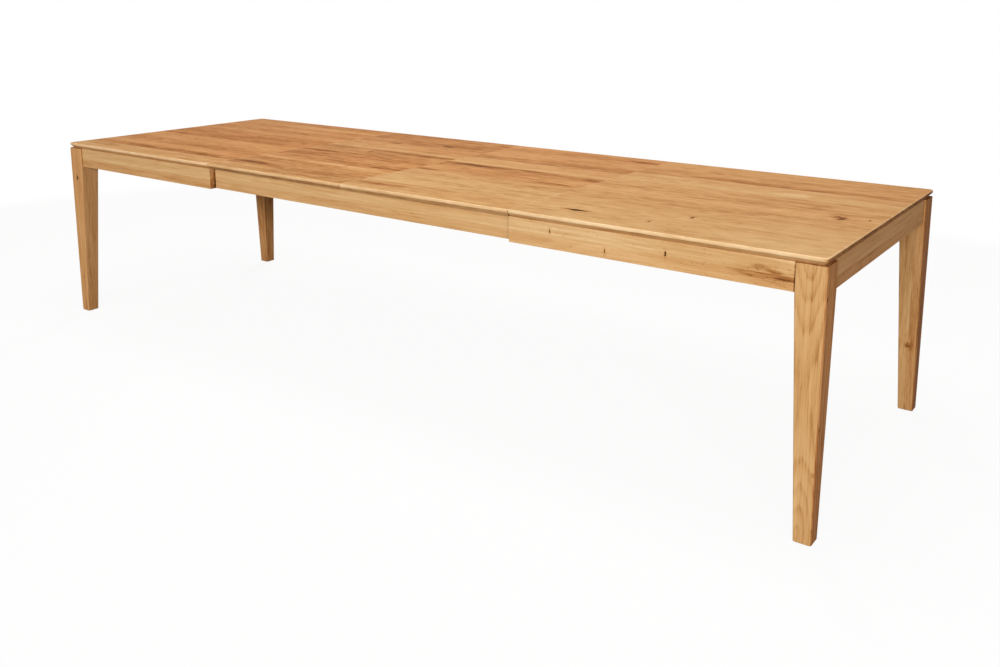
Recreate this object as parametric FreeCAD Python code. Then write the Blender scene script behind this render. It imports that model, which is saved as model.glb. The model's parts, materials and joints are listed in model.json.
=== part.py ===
import FreeCAD, Part
import math
import os
from FreeCAD import Vector

# Extending dining table in solid oak, shown pulled out with both insert leaves in place.
# Millimetres. X runs along the table, -Y is the front, +Z is up, and the origin is on the floor
# under the middle of the table. The right end is drawn, and the left end is its mirror image.

# Overall sizes
table_height = 760.0
table_width = 1075.0
leaf_length = 700.0

# Table top: boards of glued staves with a thin lip and a deep bevel under the outer edges
top_thickness = 22.0
lip_height = 9.0
under_bevel = 13.0
top_round = 3.0
plan_corner_radius = 8.0
seam_gap = 0.5
leaf_undercut = 28.0

# Legs: square above, tapered on the two inner faces below the aprons
leg_top_size = 80.0
leg_foot_size = 48.0
leg_inset = 1.0
leg_outer_radius = 6.0
leg_ease = 3.0
glide_thickness = 3.0
glide_diameter = 34.0

# Aprons of the two ends
apron_height = 78.0
apron_thickness = 26.0
apron_setback = 7.0

# Centre frame: two rails inside the aprons, joined by low cross boards
slide_gap = 1.0
rail_thickness = 26.0
rail_overlap = 156.0
rail_leg_gap = 13.0
rail_top_gap = 0.4
cross_board_thickness = 24.0
cross_board_width = 90.0
cross_board_margin = 20.0
peg_diameter = 16.0
peg_spread = 400.0
peg_edge_distance = 20.0
peg_seat_depth = 20.0
peg_stop_gap = 0.5

# Runners under the ends, with a tongue in the rails' grooves
runner_width = 30.0
runner_board_gap = 2.0
runner_seam_setback = 2.0
runner_leg_gap = 8.0
groove_height = 16.0
groove_depth = 12.0
tongue_gap = 0.5

# Battens under the ends and cleats under the leaves
batten_width = 40.0
batten_depth = 20.0
batten_from_end = 300.0
stop_overlap = 16.0
batten_runner_gap = 2.0
peg_batten_gap = 2.0
cleat_width = 40.0
cleat_depth = 20.0
cleat_inset = 120.0

# Dowels, pins, buttons and screws
dowel_diameter = 10.0
dowel_length = 50.0
top_dowel_length = 34.0
top_dowel_bite = 14.0
leg_dowel_diameter = 16.0
leg_dowel_length = 54.0
board_dowel_length = 30.0
dowel_play = 0.1
dowel_end_play = 1.0
dowel_edge_distance = 20.0
top_dowel_margin = 40.0
top_dowel_count = 3
board_dowel_spacing = 45.0
pin_diameter = 10.0
pin_drop = 12.0
pin_bite = 12.0
pin_play = 0.5
pin_seam_inset = 60.0
button_length = 40.0
button_width = 30.0
button_depth = 18.0
button_tongue_length = 10.0
button_tongue_depth = 8.0
button_play = 0.5
button_margin = 70.0
button_count = 4
screw_diameter = 4.0
screw_head_diameter = 8.0
screw_head_height = 3.0
screw_bite = 12.0
screw_play = 0.2
runner_screw_sink = 12.0
runner_screw_count = 5
runner_screw_margin = 60.0
batten_screw_count = 4
batten_screw_margin = 60.0

# Places worked out from the sizes above
end_top_length = leaf_length + rail_overlap + rail_leg_gap + leg_top_size + leg_inset
half_length = leaf_length + end_top_length
half_width = table_width / 2
under_top = table_height - top_thickness
apron_bottom = under_top - apron_height
seam_x = leaf_length + seam_gap / 2
leg_outer_x = half_length - leg_inset
leg_inner_x = leg_outer_x - leg_top_size
leg_outer_y = half_width - leg_inset
leg_inner_y = leg_outer_y - leg_top_size
apron_outer_y = leg_outer_y - apron_setback
apron_inner_y = apron_outer_y - apron_thickness
apron_middle_y = apron_outer_y - apron_thickness / 2
end_apron_outer_x = leg_outer_x - apron_setback
end_apron_inner_x = end_apron_outer_x - apron_thickness
end_apron_middle_x = end_apron_outer_x - apron_thickness / 2
rail_half = leaf_length + rail_overlap
rail_top = under_top - rail_top_gap
rail_outer_y = apron_inner_y - slide_gap
rail_inner_y = rail_outer_y - rail_thickness
rail_middle_y = rail_outer_y - rail_thickness / 2
board_top = apron_bottom + cross_board_thickness
runner_bottom = board_top + runner_board_gap
runner_outer_y = rail_inner_y - slide_gap
runner_inner_y = runner_outer_y - runner_width
groove_middle = (runner_bottom + under_top) / 2
batten_half = runner_inner_y - batten_runner_gap
outer_board_x = rail_half - cross_board_margin - cross_board_width / 2
peg_x = outer_board_x - cross_board_width / 2 + peg_edge_distance
peg_top = under_top - batten_depth - peg_batten_gap
stop_batten_x = peg_x - peg_diameter / 2 - peg_stop_gap - batten_width / 2
stop_batten_bottom = under_top - batten_depth - stop_overlap
batten_x = half_length - batten_from_end

# Edges closer than this to a face are taken as lying on it
pick_margin = 1.0

X_WAY = Vector(1, 0, 0)
Y_WAY = Vector(0, 1, 0)
Z_WAY = Vector(0, 0, 1)


def block(x0, x1, y0, y1, z0, z1):
    """A box between two corners."""
    return Part.makeBox(x1 - x0, y1 - y0, z1 - z0, Vector(x0, y0, z0))


def rod(start, way, diameter, length):
    """A round rod from a point, along a direction."""
    return Part.makeCylinder(diameter / 2, length, start, way)


def centred_rod(middle, way, diameter, length):
    """A round rod with its middle at a point."""
    return rod(middle - way * (length / 2), way, diameter, length)


def spread(first, last, count):
    """Evenly spaced places from the first to the last."""
    step = (last - first) / (count - 1)
    return [first + step * i for i in range(count)]


def prism(outline, way):
    """A solid from a closed outline of points, pushed along a vector."""
    return Part.Face(Part.makePolygon(outline + outline[:1])).extrude(way)


def mirror_left(shape):
    """The same piece on the left end."""
    return shape.mirror(Vector(0, 0, 0), X_WAY)


def mirror_back(shape):
    """The same piece on the back of the table."""
    return shape.mirror(Vector(0, 0, 0), Y_WAY)


def screw(x, y, head_z, length):
    """A countersunk wood screw pointing up, with its head's face at head_z."""
    face = Vector(x, y, head_z)
    neck = face + Z_WAY * screw_head_height
    head = Part.makeCone(screw_head_diameter / 2, screw_diameter / 2, screw_head_height, face, Z_WAY)
    shank = rod(neck, Z_WAY, screw_diameter, length - screw_head_height)
    return head.fuse(shank).removeSplitter()


def screw_hole(x, y, mouth_z, head_z, length):
    """The countersunk hole that the screw sits in, open from mouth_z upwards."""
    head_r = screw_head_diameter / 2 + screw_play
    shank_r = screw_diameter / 2 + screw_play
    mouth = Vector(x, y, mouth_z - screw_play)
    face = Vector(x, y, head_z)
    neck = face + Z_WAY * screw_head_height
    sink = Part.makeCylinder(head_r, head_z - mouth_z + screw_play, mouth, Z_WAY)
    cone = Part.makeCone(head_r, shank_r, screw_head_height, face, Z_WAY)
    shank = Part.makeCylinder(shank_r, length + screw_play - screw_head_height, neck, Z_WAY)
    return sink.fuse([cone, shank])


def leg_section(size, z):
    """A level square outline of the leg, its outer corner in place and more rounded than the others."""
    outer = Vector(leg_outer_x, -leg_outer_y, z)
    corners = [outer - X_WAY * size, outer, outer + Y_WAY * size, outer - X_WAY * size + Y_WAY * size]
    ends = []
    for i, here in enumerate(corners):
        before = corners[i - 1]
        after = corners[(i + 1) % len(corners)]
        radius = leg_outer_radius if here == outer else leg_ease
        to_before = (before - here).normalize()
        to_after = (after - here).normalize()
        start = here + to_before * radius
        end = here + to_after * radius
        middle = here + (to_before + to_after) * (radius * (1 - math.sqrt(0.5)))
        ends.append((start, Part.Arc(start, middle, end).toShape(), end))
    edges = []
    for i, (start, arc, end) in enumerate(ends):
        next_start = ends[(i + 1) % len(ends)][0]
        edges.append(arc)
        edges.append(Part.LineSegment(end, next_start).toShape())
    return Part.Wire(edges)


# Right end top: square at the seam, lip and bevel along its three outer edges
def bevel_wedge(edge_start, edge_end, inward):
    """The wedge that is cut away under one outer edge between two points of the top's outline."""
    low = Vector(0, 0, under_top)
    lip = Vector(0, 0, table_height - lip_height)
    outline = [
        edge_start + low + inward * under_bevel,
        edge_start + lip,
        edge_start + lip - inward * under_bevel,
        edge_start + low - inward * under_bevel,
    ]
    return prism(outline, edge_end - edge_start)


def round_top_edges(board, on_outer_edge):
    """Rounds the upper arris where on_outer_edge says that an edge belongs to the table's outside."""
    picked = []
    for edge in board.Edges:
        box = edge.BoundBox
        if box.ZMin > table_height - lip_height / 2 and on_outer_edge(box):
            picked.append(edge)
    return board.makeFillet(top_round, picked)


def make_end_top():
    board = block(seam_x, half_length, -half_width, half_width, under_top, table_height)
    wedges = []
    for side in (-1, 1):
        start = Vector(seam_x, side * half_width, 0)
        wedges.append(bevel_wedge(start, Vector(half_length, side * half_width, 0), Vector(0, -side, 0)))
    end_start = Vector(half_length, -half_width, 0)
    wedges.append(bevel_wedge(end_start, Vector(half_length, half_width, 0), Vector(-1, 0, 0)))
    board = board.cut(wedges)
    rounded = block(seam_x, half_length, -half_width, half_width, under_top, table_height)
    corners = []
    for edge in rounded.Edges:
        box = edge.BoundBox
        if box.XMin > half_length - pick_margin and box.ZLength > top_thickness / 2:
            corners.append(edge)
    board = board.common(rounded.makeFillet(plan_corner_radius, corners))
    return round_top_edges(board, lambda box: box.XMax > seam_x + pick_margin)


def make_leg():
    upper = leg_section(leg_top_size, under_top)
    knee = leg_section(leg_top_size, apron_bottom)
    foot = leg_section(leg_foot_size, glide_thickness)
    square = Part.makeLoft([knee, upper], True, True)
    taper = Part.makeLoft([foot, knee], True, True)
    return square.fuse(taper).removeSplitter()


# Dowels and their holes in the right end, front half
dowel_heights = [apron_bottom + dowel_edge_distance, under_top - dowel_edge_distance]


def side_dowel_places():
    return [Vector(leg_inner_x, -apron_middle_y, z) for z in dowel_heights]


def end_dowel_places():
    return [Vector(end_apron_middle_x, -leg_inner_y, z) for z in dowel_heights]


def top_dowel_places():
    first = seam_x + top_dowel_margin
    last = leg_inner_x - top_dowel_margin - dowel_length / 2
    return [Vector(x, -apron_middle_y, under_top) for x in spread(first, last, top_dowel_count)]


leg_dowel_place = Vector((leg_inner_x + leg_outer_x) / 2, -(leg_inner_y + leg_outer_y) / 2, under_top)


def apron_dowels(play, end_play):
    diameter = dowel_diameter + 2 * play
    length = dowel_length + 2 * end_play
    pieces = [centred_rod(p, X_WAY, diameter, length) for p in side_dowel_places()]
    pieces += [centred_rod(p, Y_WAY, diameter, length) for p in end_dowel_places()]
    return pieces


def top_dowels(play, end_play):
    pieces = []
    for p in top_dowel_places():
        foot = p - Z_WAY * (top_dowel_length - top_dowel_bite + end_play)
        pieces.append(rod(foot, Z_WAY, dowel_diameter + 2 * play, top_dowel_length + 2 * end_play))
    foot = leg_dowel_place - Z_WAY * (leg_dowel_length - top_dowel_bite + end_play)
    pieces.append(rod(foot, Z_WAY, leg_dowel_diameter + 2 * play, leg_dowel_length + 2 * end_play))
    return pieces


def both_halves(pieces):
    return pieces + [mirror_back(p) for p in pieces]


apron_dowel_set = both_halves(apron_dowels(0, 0))
apron_dowel_holes = both_halves(apron_dowels(dowel_play, dowel_end_play))
top_dowel_set = both_halves(top_dowels(0, 0))
top_dowel_holes = both_halves(top_dowels(dowel_play, dowel_end_play))

# Wooden buttons along the end apron, each with a tongue in a slot and a screw up into the top
button_places = spread(-leg_inner_y + button_margin, leg_inner_y - button_margin, button_count)
button_screw_x = end_apron_inner_x - button_length / 2
button_screw_length = button_depth + screw_bite
button_bottom = under_top - button_depth


def make_button(y):
    half = button_width / 2
    start = end_apron_inner_x - button_length
    body = block(start, end_apron_inner_x, y - half, y + half, button_bottom, under_top)
    tongue_end = end_apron_inner_x + button_tongue_length
    tongue_top = button_bottom + button_tongue_depth
    tongue = block(end_apron_inner_x, tongue_end, y - half, y + half, button_bottom, tongue_top)
    button = body.fuse(tongue).removeSplitter()
    return button.cut(screw_hole(button_screw_x, y, button_bottom, button_bottom, button_screw_length))


def button_slot(y):
    half = button_width / 2 + button_play
    low = button_bottom - button_play
    high = low + button_tongue_depth + 2 * button_play
    slot_start = end_apron_inner_x - button_play
    slot_end = end_apron_inner_x + button_tongue_length + button_play
    return block(slot_start, slot_end, y - half, y + half, low, high)


# Runners: bars under the top, inside the centre rails, each with a tongue along its outer side
runner_start = seam_x + runner_seam_setback
runner_end = leg_inner_x - runner_leg_gap
runner_screw_head = runner_bottom + runner_screw_sink
runner_screw_length = under_top - runner_screw_head + screw_bite
runner_first_screw = runner_start + runner_screw_margin
runner_last_screw = runner_end - runner_screw_margin
runner_screw_xs = spread(runner_first_screw, runner_last_screw, runner_screw_count)
runner_middle_y = runner_outer_y - runner_width / 2


def runner_screw_holes():
    """Holes through the front runner and into the top, the heads sunk deep in the runner."""
    holes = []
    for x in runner_screw_xs:
        holes.append(screw_hole(x, -runner_middle_y, runner_bottom, runner_screw_head, runner_screw_length))
    return holes


def make_runner():
    body = block(runner_start, runner_end, -runner_outer_y, -runner_inner_y, runner_bottom, under_top)
    tongue_half = groove_height / 2 - tongue_gap
    tongue_tip = rail_inner_y + groove_depth - tongue_gap
    low = groove_middle - tongue_half
    high = groove_middle + tongue_half
    tongue = block(runner_start, runner_end, -tongue_tip, -runner_outer_y, low, high)
    runner = body.fuse(tongue).removeSplitter()
    return runner.cut(runner_screw_holes())


# Battens across the ends, between the runners
batten_last_screw = batten_half - batten_screw_margin
batten_screw_ys = spread(-batten_last_screw, batten_last_screw, batten_screw_count)


def cross_bar(x, width, low, screw_ys):
    """A bar across the underside of a board, with its screw holes."""
    half = width / 2
    bar = block(x - half, x + half, -batten_half, batten_half, low, under_top)
    return bar.cut([screw_hole(x, y, low, low, under_top - low + screw_bite) for y in screw_ys])


def cross_bar_screws(x, low, screw_ys):
    return [screw(x, y, low, under_top - low + screw_bite) for y in screw_ys]


def pilot_holes(x, low, screw_ys):
    """The holes that a bar's screws leave in the board above it."""
    return [screw_hole(x, y, low, low, under_top - low + screw_bite) for y in screw_ys]


top_batten_bottom = under_top - batten_depth
runner_screws = []
for x in runner_screw_xs:
    runner_screws.append(screw(x, -runner_middle_y, runner_screw_head, runner_screw_length))
runner_screws = both_halves(runner_screws)
batten_screws = cross_bar_screws(stop_batten_x, stop_batten_bottom, batten_screw_ys)
batten_screws += cross_bar_screws(batten_x, top_batten_bottom, batten_screw_ys)
button_screws = [screw(button_screw_x, y, button_bottom, button_screw_length) for y in button_places]

end_top_holes = list(top_dowel_holes)
end_top_holes += both_halves(runner_screw_holes())
end_top_holes += pilot_holes(stop_batten_x, stop_batten_bottom, batten_screw_ys)
end_top_holes += pilot_holes(batten_x, top_batten_bottom, batten_screw_ys)
for y in button_places:
    end_top_holes.append(screw_hole(button_screw_x, y, button_bottom, button_bottom, button_screw_length))

front_leg = make_leg().cut(apron_dowel_holes + top_dowel_holes)
front_apron = block(seam_x, leg_inner_x, -apron_outer_y, -apron_inner_y, apron_bottom, under_top)
front_apron = front_apron.cut(apron_dowel_holes + top_dowel_holes)
end_apron = block(end_apron_inner_x, end_apron_outer_x, -leg_inner_y, leg_inner_y, apron_bottom, under_top)
end_apron = end_apron.cut(apron_dowel_holes + [button_slot(y) for y in button_places])
front_runner = make_runner()
foot_middle = Vector(leg_outer_x - leg_foot_size / 2, -leg_outer_y + leg_foot_size / 2, 0)
front_glide = rod(foot_middle, Z_WAY, glide_diameter, glide_thickness)

# Every piece of one end, by the name that follows left_ or right_
end_pieces = {
    "top": make_end_top().cut(end_top_holes),
    "front_leg": front_leg,
    "back_leg": mirror_back(front_leg),
    "front_apron": front_apron,
    "back_apron": mirror_back(front_apron),
    "end_apron": end_apron,
    "front_runner": front_runner,
    "back_runner": mirror_back(front_runner),
    "stop_batten": cross_bar(stop_batten_x, batten_width, stop_batten_bottom, batten_screw_ys),
    "top_batten": cross_bar(batten_x, batten_width, top_batten_bottom, batten_screw_ys),
    "apron_dowels": Part.makeCompound(apron_dowel_set),
    "top_dowels": Part.makeCompound(top_dowel_set),
    "buttons": Part.makeCompound([make_button(y) for y in button_places]),
    "button_screws": Part.makeCompound(button_screws),
    "runner_screws": Part.makeCompound(runner_screws),
    "batten_screws": Part.makeCompound(batten_screws),
    "floor_glides": Part.makeCompound(both_halves([front_glide])),
}

# Right leaf: lip and bevel along front and back, square at the middle seam, undercut at the end seam
leaf_start = seam_gap / 2
leaf_end = leaf_length - seam_gap / 2
pin_places = [Vector(x, -rail_middle_y, under_top) for x in (pin_seam_inset, leaf_length - pin_seam_inset)]
cleat_places = [cleat_inset, leaf_length - cleat_inset]
cleat_bottom = under_top - cleat_depth


def leaf_pins(play, end_play):
    pieces = []
    for p in pin_places:
        foot = p - Z_WAY * (pin_drop + end_play)
        pieces.append(rod(foot, Z_WAY, pin_diameter + 2 * play, pin_drop + pin_bite + 2 * end_play))
    return both_halves(pieces)


def make_leaf():
    outline = [
        Vector(leaf_start, -half_width, under_top),
        Vector(leaf_end - leaf_undercut, -half_width, under_top),
        Vector(leaf_end, -half_width, table_height),
        Vector(leaf_start, -half_width, table_height),
    ]
    board = prism(outline, Vector(0, table_width, 0))
    wedges = []
    for side in (-1, 1):
        start = Vector(leaf_start, side * half_width, 0)
        wedges.append(bevel_wedge(start, Vector(leaf_end, side * half_width, 0), Vector(0, -side, 0)))
    board = board.cut(wedges)
    board = round_top_edges(board, lambda box: abs(box.Center.y) > half_width - pick_margin)
    holes = leaf_pins(dowel_play, dowel_end_play)
    for x in cleat_places:
        holes += pilot_holes(x, cleat_bottom, batten_screw_ys)
    return board.cut(holes)


leaf_screws = []
for x in cleat_places:
    leaf_screws += cross_bar_screws(x, cleat_bottom, batten_screw_ys)

leaf_pieces = {
    "leaf": make_leaf(),
    "leaf_inner_cleat": cross_bar(cleat_places[0], cleat_width, cleat_bottom, batten_screw_ys),
    "leaf_outer_cleat": cross_bar(cleat_places[1], cleat_width, cleat_bottom, batten_screw_ys),
    "leaf_pins": Part.makeCompound(leaf_pins(0, 0)),
    "leaf_screws": Part.makeCompound(leaf_screws),
}

# Centre frame: grooved rails, low cross boards doweled between them, and stop pegs
board_places = {"left": -outer_board_x, "middle": 0.0, "right": outer_board_x}
board_middle_z = (apron_bottom + board_top) / 2


def board_dowels(play, end_play):
    diameter = dowel_diameter + 2 * play
    length = board_dowel_length + 2 * end_play
    pieces = []
    for x in board_places.values():
        for offset in (-board_dowel_spacing / 2, board_dowel_spacing / 2):
            middle = Vector(x + offset, -rail_inner_y, board_middle_z)
            pieces.append(centred_rod(middle, Y_WAY, diameter, length))
    return both_halves(pieces)


board_dowel_holes = board_dowels(dowel_play, dowel_end_play)


def make_rail():
    rail = block(-rail_half, rail_half, -rail_outer_y, -rail_inner_y, apron_bottom, rail_top)
    low = groove_middle - groove_height / 2
    high = groove_middle + groove_height / 2
    groove = block(-rail_half, rail_half, -rail_inner_y - groove_depth, -rail_inner_y, low, high)
    pin_holes = leaf_pins(pin_play, pin_play)
    pin_holes += [mirror_left(hole) for hole in pin_holes]
    return rail.cut([groove] + pin_holes + board_dowel_holes)


def peg_set(play, end_play):
    low = board_top - peg_seat_depth - end_play
    pieces = []
    for y in (-peg_spread / 2, peg_spread / 2):
        pieces.append(rod(Vector(peg_x, y, low), Z_WAY, peg_diameter + 2 * play, peg_top - low))
    return pieces


peg_holes = peg_set(dowel_play, dowel_end_play)
peg_holes += [mirror_left(hole) for hole in peg_holes]


def make_cross_board(x):
    half = cross_board_width / 2
    board = block(x - half, x + half, -rail_inner_y, rail_inner_y, apron_bottom, board_top)
    return board.cut(board_dowel_holes + peg_holes)


front_rail = make_rail()
nodes = {"front_rail": front_rail, "back_rail": mirror_back(front_rail)}
for name, x in board_places.items():
    nodes[name + "_cross_board"] = make_cross_board(x)
nodes["cross_board_dowels"] = Part.makeCompound(board_dowels(0, 0))
nodes["right_stop_pegs"] = Part.makeCompound(peg_set(0, 0))
nodes["left_stop_pegs"] = mirror_left(nodes["right_stop_pegs"])
for name, shape in list(end_pieces.items()) + list(leaf_pieces.items()):
    nodes["right_" + name] = shape
    nodes["left_" + name] = mirror_left(shape)

os.makedirs("parts", exist_ok=True)
for name, shape in nodes.items():
    shape.exportStep("parts/" + name + ".step")
    print(name, len(shape.Solids), shape.isValid(), round(shape.Volume))
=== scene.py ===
import json
import math

import bmesh
import bpy
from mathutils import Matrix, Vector

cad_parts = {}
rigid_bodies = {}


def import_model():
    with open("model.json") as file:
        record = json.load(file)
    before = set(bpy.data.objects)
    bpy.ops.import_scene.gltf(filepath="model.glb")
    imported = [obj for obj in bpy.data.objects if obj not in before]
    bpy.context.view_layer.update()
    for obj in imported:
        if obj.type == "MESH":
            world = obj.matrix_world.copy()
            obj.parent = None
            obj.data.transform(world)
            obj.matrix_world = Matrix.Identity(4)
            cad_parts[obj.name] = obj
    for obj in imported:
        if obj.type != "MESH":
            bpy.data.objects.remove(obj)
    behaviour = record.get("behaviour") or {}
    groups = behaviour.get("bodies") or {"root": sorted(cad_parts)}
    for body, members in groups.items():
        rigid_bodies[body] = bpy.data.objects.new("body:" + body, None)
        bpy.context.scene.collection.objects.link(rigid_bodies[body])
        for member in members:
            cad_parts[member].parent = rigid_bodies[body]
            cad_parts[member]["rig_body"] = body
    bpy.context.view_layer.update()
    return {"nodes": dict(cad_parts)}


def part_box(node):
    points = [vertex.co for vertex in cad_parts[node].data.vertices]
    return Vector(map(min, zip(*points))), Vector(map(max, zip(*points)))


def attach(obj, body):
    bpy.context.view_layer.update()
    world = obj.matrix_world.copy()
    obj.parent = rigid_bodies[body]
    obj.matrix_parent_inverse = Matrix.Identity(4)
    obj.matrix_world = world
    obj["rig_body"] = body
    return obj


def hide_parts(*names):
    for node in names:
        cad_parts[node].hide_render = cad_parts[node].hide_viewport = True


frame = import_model()
MM = 0.001

# Centre rails: the two long grooved rails that join the ends and carry the leaves.
# Each is planed oak glued from a light upper and a more orange lower stave, with eased arrises.
# Cross boards, doweled between the rails, hold them apart.
RAIL_EASE = 1.2 * MM
RAIL_STAVES = [(44, 0.65, 0.0), (32, 0.45, 0.1)]
RAIL_FLECK = 0.06


def srgb(red, green, blue):
    """A colour as a painter reads it, 0 to 255 for each part, as the light values that shaders take."""
    parts = [red / 255, green / 255, blue / 255]
    return tuple(c / 12.92 if c <= 0.04045 else ((c + 0.055) / 1.055) ** 2.4 for c in parts)


def put(tree, kind, feeds=None, **settings):
    """Adds a node, makes its settings and feeds its inputs with values or with other nodes' outputs."""
    node = tree.nodes.new(kind)
    for setting, value in settings.items():
        setattr(node, setting, value)
    for key, value in (feeds or {}).items():
        if isinstance(value, bpy.types.NodeSocket):
            tree.links.new(value, node.inputs[key])
        else:
            node.inputs[key].default_value = value
    return node


def number(tree, operation, *values):
    """The result of one sum on numbers."""
    return put(tree, "ShaderNodeMath", dict(enumerate(values)), operation=operation).outputs[0]


def vector(tree, operation, first, second):
    """The result of one sum on vectors."""
    return put(tree, "ShaderNodeVectorMath", {0: first, 1: second}, operation=operation).outputs["Vector"]


def reach(tree, place):
    """The length of a vector."""
    return put(tree, "ShaderNodeVectorMath", {0: place}, operation="LENGTH").outputs["Value"]


def noise(tree, place, stretch, detail=3.0, roughness=0.55, output=0):
    """Soft noise with so many waves per metre along each axis."""
    scaled = vector(tree, "MULTIPLY", place, stretch)
    feeds = {"Vector": scaled, "Scale": 1.0, "Detail": detail, "Roughness": roughness}
    return put(tree, "ShaderNodeTexNoise", feeds).outputs[output]


def rescale(tree, value, low, high, to_low=0.0, to_high=1.0, smooth=False):
    """A number moved from one range to another, and held inside it."""
    feeds = {"Value": value, "From Min": low, "From Max": high, "To Min": to_low, "To Max": to_high}
    style = "SMOOTHSTEP" if smooth else "LINEAR"
    return put(tree, "ShaderNodeMapRange", feeds, interpolation_type=style).outputs["Result"]


def ramp(tree, factor, stops, style="LINEAR"):
    """A colour ramp from (position, colour) stops."""
    node = put(tree, "ShaderNodeValToRGB", {0: factor})
    node.color_ramp.interpolation = style
    elements = node.color_ramp.elements
    elements.remove(elements[1])
    for i, (position, colour) in enumerate(stops):
        element = elements[0] if i == 0 else elements.new(position)
        element.position = position
        element.color = colour if len(colour) == 4 else (*colour, 1.0)
    return node


def mix(tree, style, factor, first, second):
    """Two colours mixed."""
    feeds = {0: factor, 6: first, 7: second}
    return put(tree, "ShaderNodeMix", feeds, data_type="RGBA", blend_type=style).outputs[2]


def surface(tree, feeds):
    """The surface shader and the material's output."""
    shader = put(tree, "ShaderNodeBsdfPrincipled", feeds)
    put(tree, "ShaderNodeOutputMaterial", {"Surface": shader.outputs[0]})


def empty_material(name):
    material = bpy.data.materials.new(name)
    material.use_nodes = True
    material.node_tree.nodes.clear()
    return material


OAK_SHADES = [
    (0.00, srgb(34, 16, 4)),
    (0.14, srgb(99, 59, 26)),
    (0.32, srgb(163, 110, 60)),
    (0.50, srgb(200, 153, 99)),
    (0.72, srgb(217, 176, 123)),
    (1.00, srgb(239, 207, 163)),
]
OAK_RED = srgb(255, 222, 205)
END_GRAIN_DARKNESS = 0.2
PAINTED_EDGE_LIGHT_SHARE = 0.32
JOINT_SHADOW_WIDTH = 5.0 * MM
JOINT_SHADOW_DARKNESS = 0.45
# Figure of the wood, from broad clouds to fine dashes: waves per metre along and across the grain,
# and strength
BOARD_FIGURE = [(2.0, 11.0, 0.4), (4.5, 55.0, 0.36), (17.0, 42.0, 0.34), (20.0, 190.0, 0.36)]
RAIL_FIGURE = [(1.4, 12.0, 0.34), (1.6, 80.0, 0.42), (4.0, 130.0, 0.26), (8.0, 330.0, 0.4)]
PORE_WAVES = (36.0, 1100.0, 1100.0)
RAY_WAVES = (80.0, 190.0, 60.0)
WANDER_WAVES = (14.0, 50.0, 50.0)
SPECKLE_WAVES = (170.0, 170.0, 170.0)
DRIFT_WAVES = (1.1, 0.0, 0.0)
NOISE_RANGE = (0.3, 0.7)
# Each stave's own number, and how far apart in the tree, in metres, the numbers put the staves
FIRST_NUMBER = 0.13
NUMBER_STEP = 0.381966
LETTER_STEP = 0.21
TREE_APART = (9.1, 4.3, 6.7)
# Marks: how far their edges wander, and where halo, swelling and spot end and reach full strength
MARK_SWING = 12.0 * MM
MARK_SWING_ALONG = 50.0 * MM
MARK_RAGGED = 0.3
HALO_REACH = (2.6, 0.6)
HALO_SHARE = 0.25
SWELL_REACH = (4.0, 0.4)
SPOT_REACH = (1.0, 0.4)
JOINT_SHADOW_CORE = 0.4
# Growth rings: where the pith lies, rings per metre, and how far the figure bends them
PITH_ACROSS = 50.0 * MM
PITH_DEPTH = (20.0 * MM, 90.0 * MM)
ARCH_PITH_ACROSS = 10.0 * MM
ARCH_PITH_DEPTH = 100.0 * MM
ARCH_PITH_FALL = 80.0 * MM
RINGS_PER_METRE = 75.0
RING_CLOUD_BEND = 2.2
RING_STREAK_BEND = 0.7
RING_STOPS = [(0.0, (1, 1, 1)), (0.2, (0, 0, 0)), (0.6, (0.2, 0.2, 0.2)), (1.0, (1, 1, 1))]
# What each of these adds to or takes from the shade
TONE_SHARE = 0.5
MIDDLE_SHADE = 0.295
LATE_WOOD_DARKNESS = 0.07
ARCH_WOOD_DARKNESS = 0.13
PORE_RANGE = (0.56, 0.68)
PORE_DARKNESS = 0.09
PORE_RELIEF = 0.6
RAY_RANGE = (0.6, 0.68)
END_GRAIN_RANGE = (0.6, 0.95)
OAK_BUMP = 0.18
OAK_BUMP_DEPTH = 0.4 * MM
OAK_ROUGHNESS = (0.55, 0.68)
OAK_GLOSS = 0.03
AXES = "XYZ"


def add_up(tree, total, extra):
    """A running total, which has no value before its first part."""
    return extra if total is None else number(tree, "ADD", total, extra)


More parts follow.
